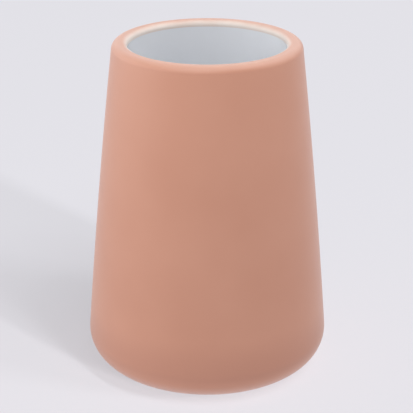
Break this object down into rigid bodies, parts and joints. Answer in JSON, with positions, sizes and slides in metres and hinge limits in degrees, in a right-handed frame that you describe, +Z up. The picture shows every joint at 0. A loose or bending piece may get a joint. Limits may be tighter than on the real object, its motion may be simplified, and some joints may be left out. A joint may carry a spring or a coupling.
{
  "type": "bathroom tumbler",
  "caption": "Tall tapered ceramic tumbler with a rounded heel and rim, matt peach soft-touch outside, white glazed inside and non-slip pads under it; it holds water or toothbrushes.",
  "frame": {"origin": "on the tumbler's axis, on the surface that it stands on", "axes": "+Z up along the tumbler's axis, from its base to its mouth; X and Y are level, and a pad lies midway between each pair of them"},
  "size_m": [0.0798, 0.0798, 0.11],
  "materials": {
    "fired_clay": "matt bare stoneware on the foot ring",
    "white_glaze": "smooth glossy white glaze",
    "peach_lacquer": "matt soft-touch lacquer with a faint velvety sheen",
    "clear_silicone": "frosted clear silicone"
  },
  "bodies": {
    "root": {"ceramic_body": "fired_clay", "inside_glaze": "white_glaze", "underside_glaze": "white_glaze", "soft_touch_coating": "peach_lacquer", "non_slip_pads": "clear_silicone"}
  },
  "joints": []
}
